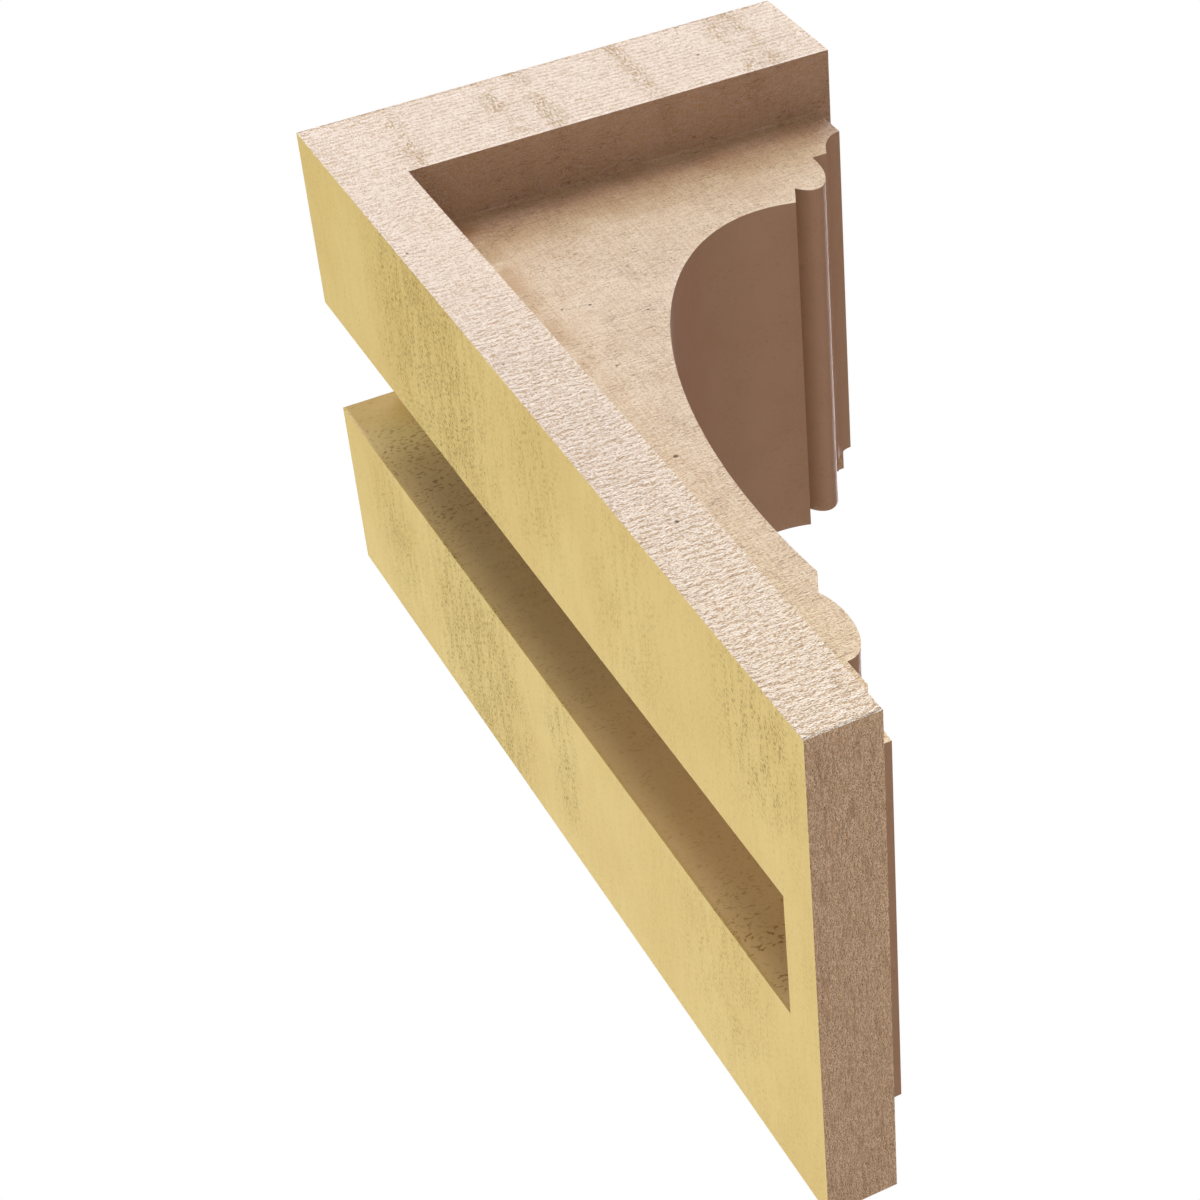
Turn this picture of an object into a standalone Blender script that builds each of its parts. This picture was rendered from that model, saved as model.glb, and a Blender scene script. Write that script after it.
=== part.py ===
"""A corbel moulded in one piece of rigid foam.

Two plates the full width of the corbel meet in an L: a thick top plate, which carries what rests on
the corbel, and a thinner back plate, which lies on the wall. A narrower bracket body stands between
them, with a bead and a cove at each end of one large hollow curve. A slot for a mounting cleat runs
down the back, open at the top.

X runs across the width, the front faces -Y and +Z is up. The origin is on the back face, in the
middle of the solid strip under the slot.
"""

import math

import bmesh
import bpy
from mathutils import Matrix, Vector

INCH = 0.0254

WIDTH = 8 * INCH
DEPTH = 8 * INCH
HEIGHT = 16 * INCH
TOP_PLATE = 2 * INCH
BACK_PLATE = 1 * INCH
BODY_INSET = 1 * INCH

SLOT_WIDTH = 2 * INCH
SLOT_DEPTH = 1 * INCH
STRIP_UNDER_SLOT = 0.75 * INCH

# The body's outline is drawn once, on a square as deep as the corbel, from the front edge down to the
# diagonal. It is mirrored about the diagonal, and then stretched to the corbel's height. On the square,
# each point is (distance out from the wall, distance down from the top).
STRETCH = HEIGHT / DEPTH
NOSE_OUT = 7.75 * INCH
NOSE_FOOT = 1.375 * INCH
COVE_RADIUS = 0.625 * INCH
COVE_IN = 0.5 * INCH
BEAD_OUT = 7 * INCH
BEAD_RADIUS = 0.4 * INCH
BEAD_MIDDLE = 1.66 * INCH
FILLET_SUM = 8.3 * INCH
HOLLOW_CENTRE = 5.56 * INCH
HOLLOW_RADIUS = 3.46 * INCH

COVE_STEPS = 12
BEAD_STEPS = 20
HOLLOW_STEPS = 48

BACK_FACE_Y = 0.0
TOP_Z = HEIGHT - STRIP_UNDER_SLOT / 2
CUTTER_SPARE = 0.5 * INCH

BODY_INTO_PLATES = 0.25 * INCH


def clear_scene():
    for old in list(bpy.data.objects):
        bpy.data.objects.remove(old, do_unlink=True)


def new_collection(name, hidden=False):
    collection = bpy.data.collections.new(name)
    collection.hide_render = hidden
    bpy.context.scene.collection.children.link(collection)
    return collection


def arc(centre, radius, start, end, steps):
    """Points along a circle, from the angle start to the angle end, both in radians."""
    out, down = centre
    turn = (end - start) / steps
    return [
        (out + radius * math.cos(start + i * turn), down + radius * math.sin(start + i * turn))
        for i in range(steps + 1)
    ]


def angle_on_fillet(centre, radius, side):
    """The angle at which a circle meets the sloping fillet, where out plus down is FILLET_SUM."""
    off_diagonal = (FILLET_SUM - sum(centre)) / (radius * math.sqrt(2))
    return math.pi / 4 + side * math.acos(off_diagonal)


def upper_outline():
    """The nose, the cove, the bead, the sloping fillet and half of the large hollow."""
    cove_centre = (NOSE_OUT, NOSE_FOOT + COVE_RADIUS)
    cove_end = -math.pi / 2 - math.asin(COVE_IN / COVE_RADIUS)
    cove = arc(cove_centre, COVE_RADIUS, -math.pi / 2, cove_end, COVE_STEPS)

    bead_centre = (BEAD_OUT - BEAD_RADIUS, BEAD_MIDDLE)
    bead_end = angle_on_fillet(bead_centre, BEAD_RADIUS, 1)
    bead = arc(bead_centre, BEAD_RADIUS, 0.0, bead_end, BEAD_STEPS)

    hollow_centre = (HOLLOW_CENTRE, HOLLOW_CENTRE)
    hollow_start = angle_on_fillet(hollow_centre, HOLLOW_RADIUS, -1)
    hollow_middle = -3 * math.pi / 4
    hollow = arc(hollow_centre, HOLLOW_RADIUS, hollow_start, hollow_middle, HOLLOW_STEPS // 2)

    nose_top = (NOSE_OUT, TOP_PLATE / STRETCH - BODY_INTO_PLATES)
    bead_top = (BEAD_OUT, cove[-1][1])
    return [nose_top, *cove, bead_top, *bead, *hollow]


def body_outline():
    """The whole body seen from the side, as (out, down) at full height, closed inside the plates."""
    upper = upper_outline()
    lower = [(down, out) for out, down in reversed(upper[:-1])]
    corner = (upper[0][1], upper[0][1])
    return [(out, down * STRETCH) for out, down in [*upper, *lower, corner]]


def plates_outline():
    """The L of the two plates seen from the side, as (out, down)."""
    return [
        (0.0, 0.0),
        (DEPTH, 0.0),
        (DEPTH, TOP_PLATE),
        (BACK_PLATE, TOP_PLATE),
        (BACK_PLATE, HEIGHT),
        (0.0, HEIGHT),
    ]


def extrude_outline(name, outline, thickness, collection):
    """A closed solid of the outline, centred on X = 0, as a mesh object."""
    curve = bpy.data.curves.new(name + "_outline", "CURVE")
    curve.dimensions = "2D"
    curve.fill_mode = "BOTH"
    curve.extrude = thickness / 2
    spline = curve.splines.new("POLY")
    spline.points.add(len(outline) - 1)
    for point, (out, down) in zip(spline.points, outline):
        point.co = (-out, -down, 0.0, 1.0)
    spline.use_cyclic_u = True

    # The curve lies in its own XY plane. Turned so, its X runs along Y, its Y along Z and its
    # thickness along X.
    drawn = bpy.data.objects.new(name + "_outline", curve)
    drawn.matrix_world = Matrix(
        (
            (0.0, 0.0, 1.0, 0.0),
            (1.0, 0.0, 0.0, BACK_FACE_Y),
            (0.0, 1.0, 0.0, TOP_Z),
            (0.0, 0.0, 0.0, 1.0),
        )
    )
    collection.objects.link(drawn)
    bpy.context.view_layer.update()

    evaluated = drawn.evaluated_get(bpy.context.evaluated_depsgraph_get())
    mesh = bpy.data.meshes.new_from_object(evaluated)
    mesh.name = name
    mesh.transform(drawn.matrix_world)
    weld(mesh)
    solid = bpy.data.objects.new(name, mesh)
    collection.objects.link(solid)
    bpy.data.objects.remove(drawn, do_unlink=True)
    return solid


def weld(mesh):
    """Joins the loose caps of an extruded outline to its sides, with all faces pointing out."""
    work = bmesh.new()
    work.from_mesh(mesh)
    bmesh.ops.remove_doubles(work, verts=work.verts, dist=1e-6)
    bmesh.ops.recalc_face_normals(work, faces=work.faces)
    work.to_mesh(mesh)
    work.free()


def slot_cutter(collection):
    """A box as large as the cleat slot, run on past the back face and past the top."""
    low = Vector((-SLOT_WIDTH / 2, -SLOT_DEPTH, TOP_Z - HEIGHT + STRIP_UNDER_SLOT))
    high = Vector((SLOT_WIDTH / 2, BACK_FACE_Y + CUTTER_SPARE, TOP_Z + CUTTER_SPARE))
    bpy.ops.mesh.primitive_cube_add(size=1.0, location=(low + high) / 2)
    cutter = bpy.context.active_object
    cutter.name = "slot_cutter"
    cutter.scale = high - low
    bpy.ops.object.transform_apply(location=False, rotation=False, scale=True)
    move_to(cutter, collection)
    return cutter


def move_to(obj, collection):
    for old in list(obj.users_collection):
        old.objects.unlink(obj)
    collection.objects.link(obj)


def hide_cutter(obj):
    obj.hide_render = True
    obj.display_type = "WIRE"


def boolean(obj, other, operation):
    modifier = obj.modifiers.new(other.name, "BOOLEAN")
    modifier.operation = operation
    modifier.solver = "EXACT"
    modifier.object = other


def primed_foam():
    material = bpy.data.materials.new("primed_foam")
    material.use_nodes = True
    shader = material.node_tree.nodes["Principled BSDF"]
    shader.inputs["Base Color"].default_value = (0.72, 0.55, 0.42, 1.0)
    shader.inputs["Roughness"].default_value = 0.8
    shader.inputs["Metallic"].default_value = 0.0
    return material


def main():
    clear_scene()
    parts = new_collection("corbel")
    helpers = new_collection("corbel_cutters", hidden=True)

    corbel = extrude_outline("corbel", plates_outline(), WIDTH, parts)
    body = extrude_outline("bracket_body", body_outline(), WIDTH - 2 * BODY_INSET, helpers)
    slot = slot_cutter(helpers)
    boolean(corbel, body, "UNION")
    boolean(corbel, slot, "DIFFERENCE")
    hide_cutter(body)
    hide_cutter(slot)
    corbel.data.materials.append(primed_foam())


main()
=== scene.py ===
import math

import bmesh
import bpy
from mathutils import Euler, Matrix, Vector
from mathutils.kdtree import KDTree


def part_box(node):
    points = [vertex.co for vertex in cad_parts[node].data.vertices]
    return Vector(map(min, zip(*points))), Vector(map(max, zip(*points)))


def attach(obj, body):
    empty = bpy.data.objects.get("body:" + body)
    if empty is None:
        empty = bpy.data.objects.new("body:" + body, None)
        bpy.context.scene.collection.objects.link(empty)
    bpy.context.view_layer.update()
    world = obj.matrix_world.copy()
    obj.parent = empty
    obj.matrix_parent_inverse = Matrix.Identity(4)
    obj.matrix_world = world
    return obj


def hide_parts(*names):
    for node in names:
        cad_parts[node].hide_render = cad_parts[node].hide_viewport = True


# A corbel moulded in one piece of foam, primed tan over a rough-sawn grain and bare on the back.
# X runs across the width, the front faces -Y and +Z is up.

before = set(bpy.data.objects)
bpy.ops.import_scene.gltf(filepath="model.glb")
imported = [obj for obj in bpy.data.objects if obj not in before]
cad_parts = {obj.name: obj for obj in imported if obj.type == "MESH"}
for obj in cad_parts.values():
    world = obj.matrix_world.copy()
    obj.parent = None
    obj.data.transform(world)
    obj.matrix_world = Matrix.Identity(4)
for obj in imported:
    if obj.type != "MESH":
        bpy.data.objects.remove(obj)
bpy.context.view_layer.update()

INCH = 0.0254
MM = 0.001
X, Y, Z = Vector((1, 0, 0)), Vector((0, 1, 0)), Vector((0, 0, 1))

# The corbel's box, and the plates and the slot in it
LOW, HIGH = (Vector(corner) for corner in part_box("corbel"))
TOP = HIGH.z
FOOT = LOW.z
BACK = HIGH.y
TOP_PLATE = 2 * INCH
BACK_PLATE = 1 * INCH
BODY_HALF = 3 * INCH
BODY_OUT = 7.75 * INCH
BODY_FOOT = 15.5 * INCH
SLOT_HALF = 1 * INCH
SLOT_DEPTH = 1 * INCH
SLOT_LENGTH = 15.25 * INCH

# The mouldings, drawn on a square as (out from the wall, down from the top) and then stretched
STRETCH = (HIGH.z - LOW.z) / (HIGH.y - LOW.y)
NOSE_FOOT = 1.375 * INCH
COVE_RADIUS = 0.625 * INCH
COVE_IN = 0.5 * INCH
BEAD_OUT = 7 * INCH
BEAD_RADIUS = 0.4 * INCH
BEAD_MIDDLE = 1.66 * INCH
FILLET_SUM = 8.3 * INCH
HOLLOW_CENTRE = 5.56 * INCH
HOLLOW_RADIUS = 3.46 * INCH

COVE_STEPS = 24
BEAD_STEPS = 32
HOLLOW_STEPS = 48

# The cells that the surface is cut into, fine enough to hold the saw marks
ROW = INCH / 20
COLUMN = INCH / 12
STAVE = INCH / 6
# A cut runs through the points that are nearer to it than SNAP, and points within MERGE are one
SNAP = 0.15 * MM
MERGE = 0.01 * MM

# The relief fades out towards every crisp edge
CRISP_ANGLE = math.radians(25)
EASE = 1.6 * MM
# Each pattern of the relief: name, the group of points it sinks, its depth and its cell's (x, y, z) size
RELIEF = (
    ("saw_marks_side", "sides", 0.35 * MM, (9 * MM, 3.5 * MM, 1.8 * MM)),
    ("waves_side", "sides", 0.25 * MM, (30 * MM, 30 * MM, 9 * MM)),
    ("saw_marks_foot", "foot", 0.2 * MM, (9 * MM, 2.4 * MM, 2.4 * MM)),
    ("saw_marks_rest", "rest", 0.2 * MM, (5 * MM, 12 * MM, 12 * MM)),
    ("pores", "foam", 0.1 * MM, (8 * MM, 3 * MM, 3 * MM)),
)

# The camera, where the photograph was taken from, with its turns in degrees and its lens in the
# photo's pixels
CAMERA_PLACE = (-0.61345, 0.25803, -0.52945)
CAMERA_TURN = (143.7194, 28.1625, -87.2491)
SENSOR = 36.0
PHOTO_SIZE = 1200
FOCAL_PIXELS = 2786.75
CENTRE_PIXEL = (790.88, 552.88)

FLOOR_Z = -1.45
FLOOR_SIZE = 8.0
LIT_POINT = Vector((0, -0.1, 0.2))

# Each softbox: name, azimuth, elevation, distance, size and the light that it gives
SOFTBOXES = (
    ("left_low", 0, 20, 5.2, 2.4, (0.30, 0.21, 0.19)),
    ("left_middle", 0, 35, 5.2, 2.4, (0.33, 0.34, 0.26)),
    ("left_high", 0, 50, 5.2, 2.4, (0.28, 0.30, 0.26)),
    ("left_back_high", 45, 50, 2.6, 1.2, (0.12, 0.14, 0.30)),
    ("back", 90, 2, 2.6, 1.2, (0.59, 0.59, 0.37)),
    ("right_back", 135, 30, 2.6, 1.2, (0.44, 0.455, 0.42)),
    ("back_low", 90, -25, 2.2, 1.4, (0.22, 0.16, 0.15)),
    ("left_front_high", -45, 45, 5.2, 2.4, (0.32, 0.38, 0.50)),
    ("front_low", -90, 10, 2.6, 1.2, (0.13, 0.07, 0.06)),
    ("right_front_high", -140, 32, 5.2, 2.4, (0.65, 0.65, 0.69)),
)


def colour(red, green, blue, brightness=1.0):
    """A colour from its 0 to 255 values on screen."""
    linear = [((c / 255 + 0.055) / 1.055) ** 2.4 * brightness for c in (red, green, blue)]
    return (*linear, 1.0)


# The primer's colours, and the shares of them that are left as painted shade on the body, on faces that
# look down and under the top plate
PRIMER = 0.98
# A painted highlight on the crests of the relief
PRIMER_CREST_HIGHLIGHT = colour(252, 243, 231, PRIMER)
PRIMER_WARM = colour(253, 241, 216, PRIMER)
PRIMER_PALE = colour(241, 229, 214, PRIMER)
PRIMER_TAN = colour(232, 215, 196, PRIMER)
# Painted shade for the hollows and corners, and also the colour of the cloth lines
PRIMER_SHADE_AND_CLOTH = colour(190, 158, 120, PRIMER)
PRIMER_LINE = colour(150, 116, 84, PRIMER)
PRIMER_GOLD = colour(184, 150, 88, PRIMER)
PRIMER_PIT = colour(105, 76, 52, PRIMER)
# Painted shade for the body, which stands back between the plates
BODY_SHADE_SHARE = (0.89, 0.855, 0.77, 1.0)
# Painted shade for faces that look down, and for the underside of the top plate
SHADED_SHARE = (0.59, 0.50, 0.48, 1.0)
UNDER_PLATE_SHADE_SHARE = (0.70, 0.615, 0.63, 1.0)
PRIMER_ROUGHNESS = 0.64
PRIMER_BUMP = 1.15 * MM

# The foam's colours, and the shares of them that are left in the slot as painted shade high up and
# painted light low down
FOAM = 0.72
FOAM_LIGHT = colour(224, 201, 134, FOAM)
FOAM_WARM = colour(219, 193, 123, FOAM)
FOAM_BAND = colour(206, 182, 96, FOAM)
# Painted shade for the mouth of the slot
FOAM_MOUTH_SHADE = colour(180, 147, 56, FOAM)
FOAM_PORE = colour(152, 125, 52, FOAM)
SLOT_HIGH_SHADE_SHARE = (0.87, 0.86, 0.97, 1.0)
SLOT_LOW_LIGHT_SHARE = (1.07, 1.05, 1.32, 1.0)
FOAM_ROUGHNESS = 0.7
FOAM_BUMP = 0.6 * MM

# The floor, the light from all round and the white that is seen behind the corbel
PALE_FLOOR = colour(190, 170, 155)
FLOOR_ROUGHNESS = 0.9
WORLD_LIGHT = (1.0, 0.97, 0.93, 1.0)
WORLD_STRENGTH = 0.02
WHITE = (1.0, 1.0, 1.0, 1.0)

# How far a surface's normal turns, from none to all of the region, to look sideways or down
FACING_SIDEWAYS = (0.6, 0.8)
FACING_DOWN = (-0.1, -0.6)

# The grains of the primed surface, as (length, width)
RIDGE = (2.8 * MM, 0.8 * MM)
PAINT_GRAIN = (0.8 * MM, 0.55 * MM)
CRACK = (9 * MM, 1.9 * MM)
FOOT_STREAK = (9 * MM, 1.3 * MM)
CRACK_WIDTH = 0.02

# The small pits all over: how far apart their cells are, their radius and the share of cells with one
LOOSE_PITS = (14 * MM, 0.5 * MM, 0.15)

# The saw's rows, and how rough each region is
SAW_PITCH = 2.8 * MM
ROW_WANDER = 14
TOP_ROWS_STRAIGHTER = 11
ROW_HEIGHT = 0.05
RIDGE_HEIGHT = 0.8
GRAIN_HEIGHT = 1.1
EVEN_ROUGHNESS = 0.08
PLATES_ROUGHNESS = 0.62
ROUGHNESS_SHARES = {"body": 0.4, "foot": 1.1, "under": 0.8}
CLOTH_SHARES = {"body": 1.0, "plates": 0.25}
CRACK_SHARES = {"plates": 0.15, "body": 0.5, "shaded": 0.16, "under": 0.5, "foot": 0.35}
FLECK_SHARES = {"body": 1.0, "shaded": 0.5}

# The noises of the primer and of the foam, as cells per metre along X, Y and Z
WANDER_CELLS = (90, 140, 90)
UPRIGHT_LINE_CELLS = (1000, 1000, 70)
LEVEL_LINE_CELLS = (80, 80, 900)
PATCH_CELLS = (60, 60, 60)
FLECK_CELLS = (700, 700, 900)
STROKE_CELLS = (1700, 1700, 480)
MOTTLE_CELLS = (50, 50, 70)
CLOUD_CELLS = (16, 16, 24)
STREAK_CELLS = (60, 60, 260)
SPECK_CELLS = (650, 1300, 1500)
SMUDGE_CELLS = (300, 420, 420)
SCRATCH_CELLS = (700, 500, 900)

# Pits seen on the left side, as (in from the left edge, out from the wall, down from the top) in
# inches, and their radius in mm
SEEN_PITS = (
    (0, 0.59, 11.69, 1.1),
    (0, 0.13, 4.13, 0.8),
    (0, 0.16, 7.42, 0.7),
    (0, 6.23, 1.03, 1.0),
    (1, 1.74, 9.18, 1.2),
    (1, 2.34, 5.22, 1.0),
    (1, 1.95, 5.12, 0.8),
    (1, 2.99, 5.77, 0.9),
    (1, 2.00, 6.83, 0.8),
)
# How far out from the wall, in inches, the saw's teeth marked the sides of the top plate
SAW_BARS = (1.3, 2.9, 3.5, 5.15, 6.8, 7.2)
# How far the torn specks on the back are turned off the level
TEAR_SLANT = math.radians(-35)
# Patches of torn foam on the back, as the middle (in from the left edge, down from the top) and half
# the size (across, down) in inches, and the strength
TORN_PATCHES = (
    (1.2, 4.9, 2.8, 2.0, 0.85),
    (6.6, 5.1, 2.6, 1.7, 0.85),
    (6.4, 1.9, 1.3, 0.9, 0.55),
    (6.0, 8.3, 1.5, 0.5, 0.6),
    (1.0, 8.4, 1.6, 0.9, 0.35),
    (0.8, 14.8, 1.3, 1.0, 0.6),
    (6.0, 13.4, 1.6, 1.2, 0.3),
    (1.5, 11.2, 1.8, 1.0, 0.25),
)


def only(*pieces):
    """Selects these pieces and no others, with the first of them active."""
    bpy.ops.object.select_all(action="DESELECT")
    for piece in pieces:
        piece.select_set(True)
    bpy.context.view_layer.objects.active = pieces[0]


def edit(piece):
    only(piece)
    bpy.ops.object.mode_set(mode="EDIT")
    bpy.ops.mesh.select_all(action="DESELECT")


def done():
    bpy.ops.object.mode_set(mode="OBJECT")


def select(piece, kind, test):
    """In edit mode, selects the faces, edges or vertices that pass the test, and no others."""
    bpy.ops.mesh.select_mode(type={"faces": "FACE", "edges": "EDGE", "verts": "VERT"}[kind])
    bpy.ops.mesh.select_all(action="DESELECT")
    cage = bmesh.from_edit_mesh(piece.data)
    for part in getattr(cage, kind):
        if test(part):
            part.select_set(True)
    bmesh.update_edit_mesh(piece.data)


def middle(face):
    return face.calc_center_median()


def cut(axis, places):
    """In edit mode, cuts the whole mesh by planes square to an axis."""
    for place in places:
        bpy.ops.mesh.select_all(action="SELECT")
        bpy.ops.mesh.bisect(plane_co=axis * place, plane_no=axis, threshold=SNAP)


def spaced(start, end, step):
    """Places from start to end, both left out, evenly spaced and about a step apart."""
    count = round((end - start) / step)
    return [start + (end - start) * i / count for i in range(1, count)]


def plates():
    """The L of the two plates, with the slot in its back and the body's footprint open."""
    size = HIGH - LOW
    bpy.ops.mesh.primitive_cube_add(size=1, location=(0, BACK - BACK_PLATE / 2, (TOP + FOOT) / 2))
    piece = bpy.context.active_object
    piece.scale = (size.x, BACK_PLATE, size.z)
    bpy.ops.object.transform_apply(location=True, rotation=False, scale=True)

    edit(piece)
    cut(Z, [TOP - TOP_PLATE])
    select(piece, "faces", lambda face: face.normal.y < -0.5 and middle(face).z > TOP - TOP_PLATE)
    reach = size.y - BACK_PLATE
    bpy.ops.mesh.extrude_region_move(TRANSFORM_OT_translate={"value": (0, -reach, 0)})

    cut(X, [-BODY_HALF, -SLOT_HALF, SLOT_HALF, BODY_HALF])
    cut(Y, [BACK - BODY_OUT])
    cut(Z, [TOP - BODY_FOOT, TOP - SLOT_LENGTH])

    # The slot is pushed in from the back face, and its end at the top is taken off
    def in_slot(point):
        return abs(point.x) < SLOT_HALF and point.z > TOP - SLOT_LENGTH

    select(piece, "faces", lambda face: face.normal.y > 0.5 and in_slot(middle(face)))
    bpy.ops.mesh.extrude_region_move(TRANSFORM_OT_translate={"value": (0, -SLOT_DEPTH, 0)})
    select(
        piece,
        "faces",
        lambda face: abs(face.normal.z) > 0.5
        and middle(face).z > TOP - MERGE
        and abs(middle(face).x) < SLOT_HALF
        and middle(face).y > BACK - SLOT_DEPTH,
    )
    bpy.ops.mesh.delete(type="FACE")

    # The body will stand on these faces
    def under_body(face):
        point = middle(face)
        if abs(point.x) > BODY_HALF or point.y < BACK - BODY_OUT or point.z < TOP - BODY_FOOT:
            return False
        on_back = face.normal.y < -0.5 and abs(point.y - BACK + BACK_PLATE) < MERGE
        on_top = face.normal.z < -0.5 and abs(point.z - TOP + TOP_PLATE) < MERGE
        return on_back and point.z < TOP - TOP_PLATE or on_top

    select(piece, "faces", under_body)
    bpy.ops.mesh.delete(type="FACE")
    done()
    return piece


def meeting_angle(circle, side):
    """The angle at which a bead or hollow, (centre, radius), meets the sloping fillet."""
    (out, down), radius = circle
    off_diagonal = (FILLET_SUM - out - down) / (radius * math.sqrt(2))
    return math.pi / 4 + side * math.acos(off_diagonal)


def on_circle(circle, angle):
    (out, down), radius = circle
    return out + radius * math.cos(angle), down + radius * math.sin(angle)


def mouldings():
    """The front of the body as one strip: nose, cove, bead, fillet and hollow, and the same below."""
    cove = ((BODY_OUT, NOSE_FOOT + COVE_RADIUS), COVE_RADIUS)
    cove_turn = -math.asin(COVE_IN / COVE_RADIUS)
    bead = ((BEAD_OUT - BEAD_RADIUS, BEAD_MIDDLE), BEAD_RADIUS)
    bead_end = meeting_angle(bead, 1)
    hollow = ((HOLLOW_CENTRE, HOLLOW_CENTRE), HOLLOW_RADIUS)
    hollow_start = meeting_angle(hollow, -1)
    cove_end = on_circle(cove, -math.pi / 2 + cove_turn)

    # One edge across the body is drawn out along the outline
    bpy.ops.mesh.primitive_plane_add(size=2 * BODY_HALF)
    strip = bpy.context.active_object
    edit(strip)
    select(strip, "verts", lambda vert: vert.co.y > 0)
    bpy.ops.mesh.delete(type="VERT")
    bpy.ops.mesh.select_all(action="SELECT")
    at = [BODY_OUT, TOP_PLATE / STRETCH]
    bpy.ops.transform.translate(value=(0, BODY_HALF - at[0], -at[1]))

    def line_to(out, down):
        step = (0, at[0] - out, at[1] - down)
        bpy.ops.mesh.extrude_region_move(TRANSFORM_OT_translate={"value": step})
        at[:] = (out, down)

    def arc(circle, turn, steps):
        (out, down), radius = circle
        start = math.atan2(at[1] - down, at[0] - out)
        bpy.ops.mesh.spin(steps=steps, angle=-turn, center=(0, -out, -down), axis=X)
        at[:] = on_circle(circle, start + turn)

    line_to(BODY_OUT, NOSE_FOOT)
    arc(cove, cove_turn, COVE_STEPS)
    line_to(BEAD_OUT, cove_end[1])
    line_to(BEAD_OUT, BEAD_MIDDLE)
    arc(bead, bead_end, BEAD_STEPS)
    line_to(*on_circle(hollow, hollow_start))
    arc(hollow, -3 * math.pi / 4 - hollow_start, HOLLOW_STEPS)
    done()

    # The lower half is the upper one mirrored about the square's diagonal
    bpy.ops.object.empty_add(location=(0, 0, 0), rotation=(math.pi / 4, 0, 0))
    diagonal = bpy.context.active_object
    mirror = strip.modifiers.new("diagonal", "MIRROR")
    mirror.mirror_object = diagonal
    mirror.use_axis = (False, False, True)
    mirror.merge_threshold = MERGE
    only(strip)
    bpy.ops.object.modifier_apply(modifier=mirror.name)
    bpy.data.objects.remove(diagonal, do_unlink=True)
    strip.scale = (1, 1, STRETCH)
    strip.location = (0, BACK, TOP)
    bpy.ops.object.transform_apply(location=True, rotation=False, scale=True)

    edit(strip)
    cut(X, [-SLOT_HALF, SLOT_HALF])
    done()
    return strip


def moulded_corbel():
    """The plates and the mouldings in one closed skin, cut into cells for the relief."""
    piece = plates()
    strip = mouldings()
    only(piece, strip)
    bpy.ops.object.join()
    piece.name = "moulded_corbel"

    edit(piece)
    bpy.ops.mesh.select_all(action="SELECT")
    bpy.ops.mesh.remove_doubles(threshold=MERGE)
    for side in (-BODY_HALF, BODY_HALF):
        select(
            piece,
            "edges",
            lambda edge: edge.is_boundary and all(abs(v.co.x - side) < MERGE for v in edge.verts),
        )
        bpy.ops.mesh.edge_face_add()
    bpy.ops.mesh.select_all(action="SELECT")
    bpy.ops.mesh.normals_make_consistent(inside=False)

    cut(Z, spaced(FOOT, TOP, ROW))
    cut(Y, spaced(LOW.y, BACK, COLUMN))
    cut(X, spaced(LOW.x, HIGH.x, STAVE))
    done()
    return piece


def crisp_points(piece):
    """The points on the crisp edges, in a tree that finds the nearest one."""
    cage = bmesh.new()
    cage.from_mesh(piece.data)
    on_edges = {
        vert.index: vert.co.copy()
        for edge in cage.edges
        if edge.calc_face_angle(0.0) > CRISP_ANGLE
        for vert in edge.verts
    }
    cage.free()
    tree = KDTree(len(on_edges))
    for index, point in on_edges.items():
        tree.insert(point, index)
    tree.balance()
    return tree


def relief_groups(piece):
    """Weights for the relief: 0 on a crisp edge and 1 away from it, in one group per region."""
    tree = crisp_points(piece)
    names = ("sides", "foot", "rest", "foam")
    groups = {name: piece.vertex_groups.new(name=name) for name in names}
    for vert in piece.data.vertices:
        away = tree.find(vert.co)[2]
        if is_bare(vert.co):
            name = "foam"
        elif abs(vert.normal.x) > 0.5:
            name = "sides"
        elif vert.co.z < FOOT + MERGE:
            name = "foot"
        else:
            name = "rest"
        groups[name].add([vert.index], min(1.0, away / EASE), "REPLACE")


def is_bare(point):
    """Whether a place on the surface is the unprimed foam of the back face or the slot."""
    in_slot = abs(point.x) < SLOT_HALF + MERGE and point.y > BACK - SLOT_DEPTH - MERGE
    return point.y > BACK - MERGE or in_slot and point.z > TOP - SLOT_LENGTH - MERGE


def carve(piece, name, group, depth, cell):
    """Sinks a pattern of cells into the surface, at most to the depth. A cell is (x, y, z) long."""
    pattern = bpy.data.textures.new(name, "CLOUDS")
    pattern.noise_scale = 1.0
    pattern.noise_depth = 2
    bpy.ops.object.empty_add(location=(0, 0, 0))
    guide = bpy.context.active_object
    guide.scale = cell
    sink = piece.modifiers.new(name, "DISPLACE")
    sink.texture = pattern
    sink.texture_coords = "OBJECT"
    sink.texture_coords_object = guide
    sink.mid_level = 1.0
    sink.strength = depth
    sink.vertex_group = group
    only(piece)
    bpy.ops.object.modifier_apply(modifier=sink.name)
    bpy.data.objects.remove(guide, do_unlink=True)


def relief(piece):
    """Sinks the saw marks, the waves and the pores into the surface."""
    relief_groups(piece)
    for pattern in RELIEF:
        carve(piece, *pattern)
    piece.vertex_groups.clear()
    only(piece)
    bpy.ops.object.shade_smooth_by_angle(angle=CRISP_ANGLE)


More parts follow.
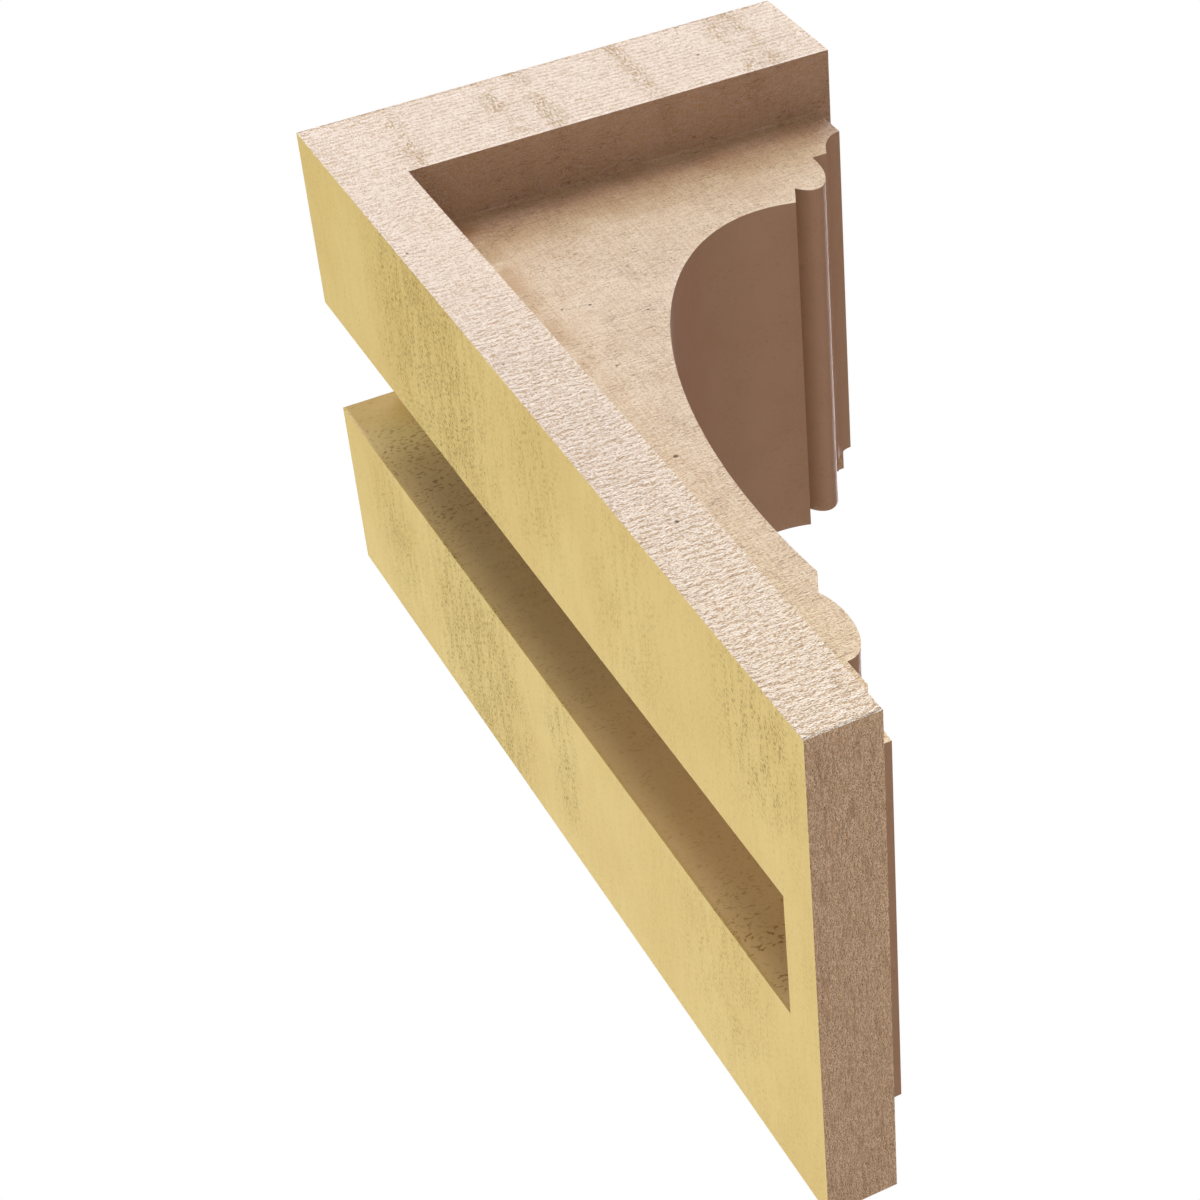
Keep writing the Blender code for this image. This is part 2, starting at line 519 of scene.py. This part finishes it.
class Value:
    """A node's output socket. Arithmetic on it adds Math nodes to its tree."""

    def __init__(self, nodes, socket):
        self.nodes = nodes
        self.socket = socket

    def math(self, operation, *others):
        return self.nodes.node("ShaderNodeMath", {"operation": operation}, self, *others)

    def __add__(self, other):
        return self.math("ADD", other)

    __radd__ = __add__

    def __sub__(self, other):
        return self.math("SUBTRACT", other)

    def __rsub__(self, other):
        return self.nodes.node("ShaderNodeMath", {"operation": "SUBTRACT"}, other, self)

    def __mul__(self, other):
        return self.math("MULTIPLY", other)

    __rmul__ = __mul__

    def __abs__(self):
        return self.math("ABSOLUTE")

    def step(self, low, high):
        """0 below low, 1 above high and smooth between. With low above high it falls instead."""
        settings = {"interpolation_type": "SMOOTHSTEP"}
        if low < high:
            return self.nodes.node("ShaderNodeMapRange", settings, self, low, high, 0.0, 1.0)
        return self.nodes.node("ShaderNodeMapRange", settings, self, high, low, 1.0, 0.0)


class Nodes:
    """A node tree, with the one method that makes its nodes."""

    def __init__(self, tree):
        self.tree = tree

    def node(self, kind, settings, *values, output=0, **named):
        """Adds a node, makes its settings, then fills its sockets in order and by name."""
        node = self.tree.nodes.new(kind)
        for setting, value in settings.items():
            setattr(node, setting, value)
        for key, value in [*enumerate(values), *named.items()]:
            self.fill(node.inputs[key], value)
        return Value(self, node.outputs[output])

    def fill(self, socket, value):
        if isinstance(value, Value):
            self.tree.links.new(value.socket, socket)
        elif value is not None:
            socket.default_value = value


class Finish(Nodes):
    """A material on Object coordinates."""

    def __init__(self, name):
        self.material = bpy.data.materials.new(name)
        self.material.use_nodes = True
        super().__init__(self.material.node_tree)
        self.shader = self.tree.nodes["Principled BSDF"]
        self.place = self.node("ShaderNodeTexCoord", {}, output="Object")

    def paint(self, base, roughness):
        self.fill(self.shader.inputs["Base Color"], base)
        self.shader.inputs["Roughness"].default_value = roughness

    def bump(self, height, distance):
        bump = self.node("ShaderNodeBump", {}, Distance=distance, Height=height)
        self.fill(self.shader.inputs["Normal"], bump)

    def part(self, vector, axis):
        return self.node("ShaderNodeSeparateXYZ", {}, vector, output=axis)

    def scaled(self, vector, scale):
        return self.node("ShaderNodeVectorMath", {"operation": "MULTIPLY"}, vector, scale)

    def vector_mix(self, amount, first, second):
        settings = {"data_type": "VECTOR"}
        blank = [None] * 3
        return self.node("ShaderNodeMix", settings, amount, *blank, first, second, output=1)

    def colour_mix(self, amount, first, second, blend="MIX"):
        settings = {"data_type": "RGBA", "blend_type": blend}
        blank = [None] * 5
        return self.node("ShaderNodeMix", settings, amount, *blank, first, second, output=2)

    def noise(self, vector, detail=2.0, roughness=0.5, distortion=0.0):
        return self.node(
            "ShaderNodeTexNoise",
            {"noise_dimensions": "3D"},
            Vector=vector,
            Scale=1.0,
            Detail=detail,
            Roughness=roughness,
            Distortion=distortion,
        )

    def pattern(self, cells, detail=2.0, roughness=0.5):
        """A noise with so many cells per metre along X, Y and Z."""
        return self.noise(self.scaled(self.place, cells), detail, roughness)


class Regions:
    """How far a point of the primed surface is in each region, from 0 to 1."""

    def __init__(self, finish):
        self.y = finish.part(finish.place, "Y")
        self.z = finish.part(finish.place, "Z")
        facing = finish.node("ShaderNodeTexCoord", {}, output="Normal")
        outer = abs(finish.part(finish.place, "X")).step(BODY_HALF + 1 * MM, BODY_HALF + 2 * MM)
        high = self.z.step(TOP - TOP_PLATE - 1 * MM, TOP - TOP_PLATE + 1 * MM)
        self.below = finish.part(facing, "Z").step(*FACING_DOWN)
        not_below = 1 - self.below

        self.side = abs(finish.part(facing, "X")).step(*FACING_SIDEWAYS)
        self.foot = self.z.step(FOOT + 2 * MM, FOOT + 1 * MM)
        self.plates = outer.math("MAXIMUM", high) * not_below
        self.body = (1 - self.plates) * not_below
        self.top = high * self.side
        # Faces that look down, but for the foot, take the painted shade
        self.shaded = self.below * (1 - self.foot)
        self.under = abs(self.z - (TOP - TOP_PLATE)).step(1.2 * MM, 0.8 * MM) * self.shaded
        self.worn = self.down_to(5, 8)
        self.low = (1 - self.down_to(9, 15)) * self.side

    def down_to(self, whole, none):
        """1 from the top down to whole, then fading to 0 at none, both in inches from the top."""
        return self.z.step(TOP - none * INCH, TOP - whole * INCH)

    def share(self, shares):
        """A strength that differs by region, from the strength in each."""
        return sum(getattr(self, region) * strength for region, strength in shares.items())


def grain(finish, where, length, width):
    """Object space in which one unit is a grain's length along the grain and its width across it.

    The grain runs from back to front on the sides, across the width at the foot, and elsewhere
    follows the outline from back to front.
    """
    on_rest = finish.scaled(finish.place, (1 / width, 1 / length, 1 / length))
    on_foot = finish.scaled(finish.place, (1 / length, 1 / width, 1 / width))
    on_side = finish.scaled(finish.place, (1 / width, 1 / length, 1 / width))
    not_side = finish.vector_mix(where.foot, on_rest, on_foot)
    return finish.vector_mix(where.side, not_side, on_side)


def saw_marks(finish, where):
    """The height of the saw's rows and of the grain on them, and painted shade along the grooves between
    the rows.

    The saw left wandering rows, broken into short ridges, and the paint a grain on them.
    """
    wander = finish.pattern(WANDER_CELLS) * (ROW_WANDER - where.top * TOP_ROWS_STRAIGHTER)
    rows = (where.z * (2 * math.pi / SAW_PITCH) + wander).math("SINE") * where.side
    ridges = finish.noise(grain(finish, where, *RIDGE), 1.5, 0.5, 0.6)
    grains = finish.noise(grain(finish, where, *PAINT_GRAIN), 1.0, 0.5)
    rough = EVEN_ROUGHNESS + where.plates * (1 - where.worn * 0.2) * PLATES_ROUGHNESS
    rough = rough + where.share(ROUGHNESS_SHARES)
    sawn = where.plates * (1 - where.worn * 0.6 + where.top * 0.2)
    height = ((ridges - 0.5) * RIDGE_HEIGHT + (grains - 0.5) * GRAIN_HEIGHT) * rough
    height = height + rows * (0.008 + sawn * ROW_HEIGHT)
    return height, rows.step(-0.1, -1.0) * sawn * ridges.step(0.6, 0.4)


def cloth_lines(finish, where):
    """Fine upright and level lines, as of a cloth, mostly on the body."""
    upright = finish.pattern(UPRIGHT_LINE_CELLS, 1.0).step(0.55, 0.35)
    level = finish.pattern(LEVEL_LINE_CELLS, 1.0).step(0.5, 0.35)
    return (upright + level) * where.share(CLOTH_SHARES)


def thin_cracks(finish, where, patches):
    """Thin wandering lines along the grain, where a noise crosses its middle value."""
    crossing = finish.noise(grain(finish, where, *CRACK), 1.5)
    lines = abs(crossing - 0.5).step(CRACK_WIDTH, CRACK_WIDTH / 4)
    return lines * patches.step(0.43, 0.57) * where.share(CRACK_SHARES)


def tooth_strokes(finish, where, patches):
    """Short strokes along the height, where the saw's teeth went over the top plate."""
    bars = 0
    for out in SAW_BARS:
        bars = abs(where.y - (BACK - out * INCH)).step(7 * MM, 0.5 * MM) + bars
    return finish.pattern(STROKE_CELLS, 1.5).step(0.49, 0.6) * bars * patches.step(0.38, 0.54)


def painted_corner_shade(where, mottle):
    """Painted shade in the corners of the body, by the back plate and under the top plate."""
    by_plate = where.y.step(BACK - 1.95 * INCH, BACK - 1.6 * INCH) * where.body * where.side
    by_plate = by_plate * where.down_to(4, 9)
    by_top = where.down_to(3, 5) * where.body * where.side
    return (by_plate * 0.75 + by_top * 0.12) * mottle.step(0.3, 0.6)


def loose_pits(finish, spacing, radius, share):
    """Small round pits, in that share of the cells of a loose grid."""
    cells = finish.scaled(finish.place, (1 / spacing,) * 3)
    kind = "ShaderNodeTexVoronoi"
    near = finish.node(kind, {}, Vector=cells, Scale=1.0, output="Distance")
    pick = finish.node(kind, {}, Vector=cells, Scale=1.0, output="Color")
    chosen = finish.part(pick, "X").step(share, share * 0.9)
    return near.step(radius / spacing, 0.4 * radius / spacing) * chosen


def seen_pits(finish):
    """The pits that the photograph shows on the left side."""
    total = 0
    for inset, out, down, radius in SEEN_PITS:
        pit = (LOW.x + inset * INCH, BACK - out * INCH, TOP - down * INCH)
        settings = {"operation": "DISTANCE"}
        away = finish.node("ShaderNodeVectorMath", settings, finish.place, pit, output="Value")
        total = away.step(radius * MM, 0.4 * radius * MM) + total
    return total


def rough_sawn_primer():
    """Pale cream, tan on the body, brown in the cracks and pits, with painted highlights on the crests
    and painted shade on the body, in the hollows and corners and on faces that look down.
    """
    finish = Finish("rough_sawn_primer")
    where = Regions(finish)
    height, furrow_shade = saw_marks(finish, where)
    patches = finish.pattern(PATCH_CELLS)
    cloth = cloth_lines(finish, where)
    cracks = thin_cracks(finish, where, patches)
    flecks = finish.pattern(FLECK_CELLS, 1.0).step(0.37, 0.3) * patches.step(0.35, 0.6)
    flecks = flecks * where.share(FLECK_SHARES)
    strokes = tooth_strokes(finish, where, patches)
    nicks = strokes * where.under
    strokes = strokes * where.top
    pits = loose_pits(finish, *LOOSE_PITS) * (1 - where.shaded * 0.6)
    pits = pits * 0.6 + seen_pits(finish)

    mottle = finish.pattern(MOTTLE_CELLS, 3.0)
    mottling = 2.8 - (where.plates + where.below) * 1.6
    tan = 0.2 + where.worn * 0.1 + (mottle - 0.5) * mottling
    base = finish.colour_mix(tan, PRIMER_PALE, PRIMER_TAN)
    base = finish.colour_mix(where.low * 0.6, base, PRIMER_WARM)
    # Painted highlight: the crests of the relief are painted paler
    base = finish.colour_mix(height.step(0.02, 0.14) * 0.65, base, PRIMER_CREST_HIGHLIGHT)
    # Painted shade: the body, set back between the plates, is painted darker and warmer
    base = finish.colour_mix(1 - where.plates, base, BODY_SHADE_SHARE, "MULTIPLY")
    # Painted shade in the body's corners, by the back plate and under the top plate
    base = finish.colour_mix(painted_corner_shade(where, mottle), base, PRIMER_SHADE_AND_CLOTH)
    # Painted shade: faces that look down are painted darker, a little less so under the top plate
    share = finish.colour_mix(where.under, SHADED_SHARE, UNDER_PLATE_SHADE_SHARE)
    base = finish.colour_mix(where.shaded, base, share, "MULTIPLY")

    streaks = finish.noise(grain(finish, where, *FOOT_STREAK)).step(0.46, 0.33) * where.foot
    sunk_shade = height.step(0.0, -0.1) * (0.62 - where.foot * 0.2)
    base = finish.colour_mix(cloth * 0.2, base, PRIMER_SHADE_AND_CLOTH)
    base = finish.colour_mix(streaks * 0.3, base, PRIMER_LINE)
    # Painted shade in the hollows of the relief and along the grooves between the saw's rows
    base = finish.colour_mix(sunk_shade + furrow_shade * 0.2, base, PRIMER_SHADE_AND_CLOTH)
    base = finish.colour_mix(cracks + nicks * 0.4 + flecks * 0.4, base, PRIMER_LINE)
    base = finish.colour_mix(strokes * 0.85, base, PRIMER_GOLD)
    base = finish.colour_mix(pits * 0.9, base, PRIMER_PIT)

    finish.paint(base, PRIMER_ROUGHNESS)
    finish.bump(
        height - cloth * 0.02 - cracks * 0.1 - strokes * 0.15 - pits * 0.4, PRIMER_BUMP
    )
    return finish.material


def torn_patches(finish):
    """Soft ovals on the back, where the saw tore the foam's skin, on a faint tear all over."""
    total = 0.2
    for across, down, wide, high, strength in TORN_PATCHES:
        patch = (LOW.x + across * INCH, 0, TOP - down * INCH)
        settings = {"operation": "SUBTRACT"}
        reach = finish.node("ShaderNodeVectorMath", settings, finish.place, patch)
        reach = finish.scaled(reach, (1 / (wide * INCH), 0, 1 / (high * INCH)))
        settings = {"operation": "LENGTH"}
        away = finish.node("ShaderNodeVectorMath", settings, reach, output="Value")
        total = away.step(1.5, 0.4) * strength + total
    return total


def bare_foam():
    """Yellow foam, torn in patches on the back and scored in the slot, with painted shade at the slot's
    mouth and high in it, and painted light low in it.
    """
    finish = Finish("bare_foam")
    down = TOP - finish.part(finish.place, "Z")
    in_slot = finish.part(finish.place, "Y").step(BACK - 0.5 * MM, BACK - 1.5 * MM)
    cloud = finish.pattern(CLOUD_CELLS)
    streaks = finish.pattern(STREAK_CELLS)
    settings = {"rotation_type": "Y_AXIS"}
    turned = finish.node("ShaderNodeVectorRotate", settings, finish.place, Angle=TEAR_SLANT)
    specks = finish.noise(finish.scaled(turned, SPECK_CELLS), 1.5, 0.6)
    smudges = finish.pattern(SMUDGE_CELLS)
    scratches = finish.pattern(SCRATCH_CELLS)

    torn = torn_patches(finish)
    torn = torn * (0.25 + cloud.step(0.4, 0.6) * 0.15 + streaks.step(0.38, 0.6) * 0.6)
    torn = torn * (1 - in_slot * 0.8)
    scored = 0.5 + down.step(5 * INCH, 3 * INCH) + down.step(12.5 * INCH, 14 * INCH)
    scored = in_slot * scored * (0.3 + streaks.step(0.4, 0.6) * 0.7)
    spots = smudges.step(0.38, 0.3) * torn * 0.5 + scratches.step(0.46, 0.36) * scored * 0.6
    mouth = in_slot * down.step(1.5 * INCH, 0.5 * INCH)
    inside = in_slot * down.step(1 * INCH, 3 * INCH)

    base = finish.colour_mix(cloud.step(0.3, 0.7), FOAM_LIGHT, FOAM_WARM)
    base = finish.colour_mix(torn * 0.35, base, FOAM_BAND)
    base = finish.colour_mix(specks.step(0.5, 0.38) * torn * 1.4, base, FOAM_PORE)
    base = finish.colour_mix(spots, base, FOAM_PORE)
    # Painted shade at the mouth of the slot
    base = finish.colour_mix(mouth * 0.75, base, FOAM_MOUTH_SHADE)
    # Painted shade high in the slot and painted light low in it
    share = finish.colour_mix(down.step(6 * INCH, 13 * INCH), SLOT_HIGH_SHADE_SHARE, SLOT_LOW_LIGHT_SHARE)
    base = finish.colour_mix(inside, base, share, "MULTIPLY")

    finish.paint(base, FOAM_ROUGHNESS)
    finish.bump(specks * torn + smudges * 0.15, FOAM_BUMP)
    return finish.material


def give_finishes(piece):
    """The primer all over, but for the bare foam of the back face and the slot."""
    piece.data.materials.clear()
    piece.data.materials.append(rough_sawn_primer())
    piece.data.materials.append(bare_foam())
    edit(piece)
    select(piece, "faces", lambda face: all(is_bare(v.co) for v in face.verts))
    piece.active_material_index = 1
    bpy.ops.object.material_slot_assign()
    done()


def make_corbel():
    piece = moulded_corbel()
    give_finishes(piece)
    relief(piece)
    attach(piece, "root")
    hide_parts("corbel")


def make_floor():
    bpy.ops.mesh.primitive_plane_add(size=FLOOR_SIZE, location=(0, 0, FLOOR_Z))
    floor = bpy.context.active_object
    floor.name = "floor"
    bpy.ops.object.transform_apply(location=True, rotation=False, scale=False)
    finish = Finish("pale_floor")
    finish.paint(PALE_FLOOR, FLOOR_ROUGHNESS)
    floor.data.materials.append(finish.material)


def softbox(name, azimuth, elevation, distance, size, light):
    """A round soft light aimed at the corbel. Azimuth 0 is on the side of -X and 90 on that of +Y.

    light is the brightness, in red, green and blue, that it gives a white card facing it.
    """
    bearing = math.radians(azimuth)
    height = math.radians(elevation)
    level = math.cos(height)
    away = Vector((-math.cos(bearing) * level, math.sin(bearing) * level, math.sin(height)))
    lamp = bpy.data.lights.new(name, "AREA")
    lamp.shape = "DISK"
    lamp.size = size
    lamp.energy = (math.pi * distance) ** 2 * max(light)
    lamp.color = [share / max(light) for share in light]
    box = bpy.data.objects.new(name, lamp)
    box.location = LIT_POINT + away * distance
    box.rotation_euler = away.to_track_quat("Z", "Y").to_euler()
    box.visible_camera = False
    bpy.context.scene.collection.objects.link(box)


def make_lights():
    for box in SOFTBOXES:
        softbox(*box)


def make_world():
    """White behind the corbel, and a dim pale light from all round."""
    world = bpy.data.worlds.new("studio")
    world.use_nodes = True
    nodes = Nodes(world.node_tree)
    lit = nodes.tree.nodes["Background"]
    lit.inputs["Color"].default_value = WORLD_LIGHT
    lit.inputs["Strength"].default_value = WORLD_STRENGTH
    behind = nodes.node("ShaderNodeBackground", {}, WHITE)
    seen = nodes.node("ShaderNodeLightPath", {}, output="Is Camera Ray")
    mix = nodes.node("ShaderNodeMixShader", {}, seen, Value(nodes, lit.outputs[0]), behind)
    nodes.fill(nodes.tree.nodes["World Output"].inputs["Surface"], mix)
    bpy.context.scene.world = world


def make_camera():
    lens = bpy.data.cameras.new("camera")
    lens.sensor_width = SENSOR
    lens.lens = FOCAL_PIXELS / PHOTO_SIZE * SENSOR
    lens.shift_x = 0.5 - CENTRE_PIXEL[0] / PHOTO_SIZE
    lens.shift_y = CENTRE_PIXEL[1] / PHOTO_SIZE - 0.5
    camera = bpy.data.objects.new("camera", lens)
    camera.location = CAMERA_PLACE
    camera.rotation_euler = Euler([math.radians(angle) for angle in CAMERA_TURN])
    bpy.context.scene.collection.objects.link(camera)
    bpy.context.scene.camera = camera


make_camera()
make_corbel()
make_floor()
make_lights()
make_world()
bpy.context.scene.view_settings.view_transform = "Standard"
